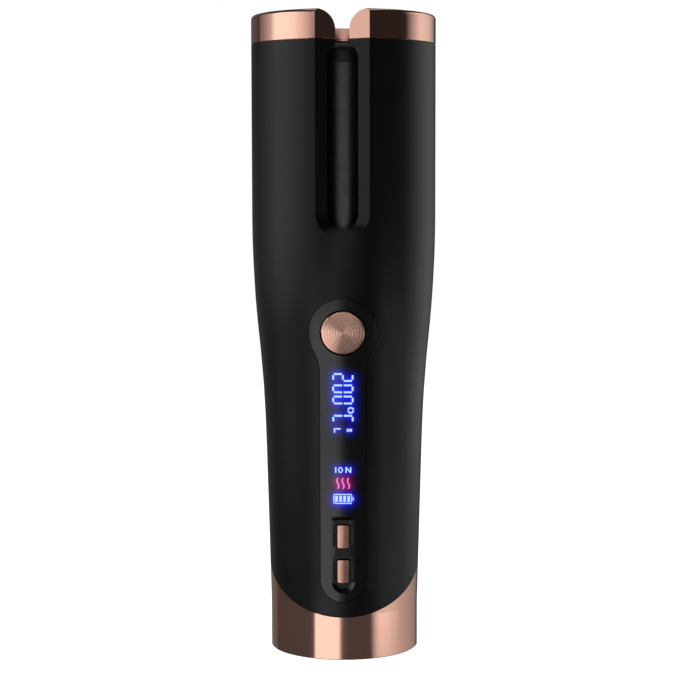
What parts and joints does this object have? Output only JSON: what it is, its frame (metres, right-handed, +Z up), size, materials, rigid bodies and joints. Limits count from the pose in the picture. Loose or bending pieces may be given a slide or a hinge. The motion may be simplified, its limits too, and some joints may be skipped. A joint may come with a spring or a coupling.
{
  "type": "automatic hair curler",
  "caption": "Cordless automatic hair curler: a heated barrel in a turning slotted chamber, with a lit control panel, press keys and a metal-look rim and base.",
  "frame": {"origin": "centre of the base, on the surface it stands on", "axes": "+Z up the body to the rim; the hair slot, button, display and keys face -Y; +X is to the right seen from the front"},
  "size_m": [0.057, 0.0569, 0.1965],
  "materials": {
    "body_black": "soft-touch matte black",
    "rose_gold": "rose gold electroplate, polished",
    "rose_gold_spun": "rose gold anodised, turned in fine rings",
    "rose_gold_key": "rose gold electroplate, satin",
    "panel_gloss": "smooth semi-gloss black",
    "lit_display": "clear light guide, lit blue-white",
    "black_nylon": "moulded black",
    "foot_rubber": "matte",
    "screw_steel": "zinc plated",
    "bright_steel": "bright",
    "white_plastic": "moulded white",
    "circuit_board": "green solder mask",
    "chip_black": "moulded epoxy",
    "heat_plastic": "glass-filled heat-resistant",
    "tip_plastic": "heat-resistant satin black",
    "cell_sleeve": "shrink sleeve blue",
    "nickel": "nickel",
    "gear_brass": "machined",
    "gear_plastic": "acetal, natural",
    "lead_red": "silicone sleeve",
    "lead_black": "silicone sleeve",
    "lead_white": "glass-braided sleeve",
    "ribbon_amber": "polyimide film",
    "barrel_coating": "black ceramic coating, satin",
    "raw_aluminium": "extruded",
    "ptc_ceramic": "sintered",
    "glass_bead": "glass bead",
    "fuse_white": "ceramic case",
    "rotor_black": "heat-resistant satin black"
  },
  "bodies": {
    "casing": {"front_shell": "body_black", "rear_shell": "body_black", "top_ring": "rose_gold", "base_cap": "rose_gold", "base_plate": "black_nylon", "base_foot": "foot_rubber", "base_screws": "screw_steel", "control_panel": "panel_gloss", "display_light_guide": "lit_display", "display_light_box": "white_plastic", "display_board": "circuit_board", "board_screws": "screw_steel", "switch_bodies": "black_nylon", "hall_sensor": "chip_black", "chamber_liner": "heat_plastic", "chassis_deck": "black_nylon", "frame_screws": "screw_steel", "battery_holder": "black_nylon", "battery_cell_left": "cell_sleeve", "battery_cell_right": "cell_sleeve", "battery_strips": "nickel", "main_board": "circuit_board", "controller_chip": "chip_black", "lead_connectors": "white_plastic", "charge_board": "circuit_board", "usb_socket": "bright_steel", "ion_module": "chip_black", "gearbox_case": "gear_brass", "motor_can": "bright_steel", "motor_screws": "screw_steel", "battery_leads": "lead_red", "motor_leads": "lead_black", "heater_leads": "lead_white", "ribbon_cable": "ribbon_amber", "heater_post": "screw_steel", "thrust_washer": "bright_steel", "barrel_base": "heat_plastic", "barrel_nut": "gear_brass", "heater_barrel": "barrel_coating", "barrel_tip": "tip_plastic", "spreader_front": "raw_aluminium", "spreader_back": "raw_aluminium", "ptc_plates": "ptc_ceramic", "thermistor": "glass_bead", "thermal_fuse": "fuse_white"},
    "rotor": {"rotor_sleeve": "rotor_black", "rotor_gear": "gear_plastic", "rotor_bushing": "gear_brass", "home_magnet": "nickel"},
    "drive": {"motor_shaft": "bright_steel", "drive_pinion": "gear_brass"},
    "main_button": {"button_disc": "rose_gold_spun", "button_carrier": "black_nylon", "button_plunger": "black_nylon"},
    "temperature_button": {"temperature_key": "rose_gold_key", "temperature_key_carrier": "black_nylon", "temperature_plunger": "black_nylon"},
    "timer_button": {"timer_key": "rose_gold_key", "timer_key_carrier": "black_nylon", "timer_plunger": "black_nylon"}
  },
  "joints": [
    {"name": "rotor_spin", "type": "hinge", "parent": "casing", "child": "rotor", "pos_m": [0, 0, 0.108], "axis": [0, 0, 1], "continuous": true},
    {"name": "drive_spin", "type": "hinge", "parent": "casing", "child": "drive", "pos_m": [0, 0.015, 0.1], "axis": [0, 0, 1], "continuous": true},
    {"name": "button_press", "type": "slide", "parent": "casing", "child": "main_button", "axis": [0, 1, 0], "range_m": [0, 0.0006], "stiffness_N_per_m": 500, "springref_m": -0.0006},
    {"name": "temperature_press", "type": "slide", "parent": "casing", "child": "temperature_button", "axis": [0, 1, 0], "range_m": [0, 0.0004], "stiffness_N_per_m": 400, "springref_m": -0.0004},
    {"name": "timer_press", "type": "slide", "parent": "casing", "child": "timer_button", "axis": [0, 1, 0], "range_m": [0, 0.0004], "stiffness_N_per_m": 400, "springref_m": -0.0004}
  ],
  "couplings": [
    {"joint": "drive_spin", "follows": "rotor_spin", "ratio": -3.1667}
  ]
}
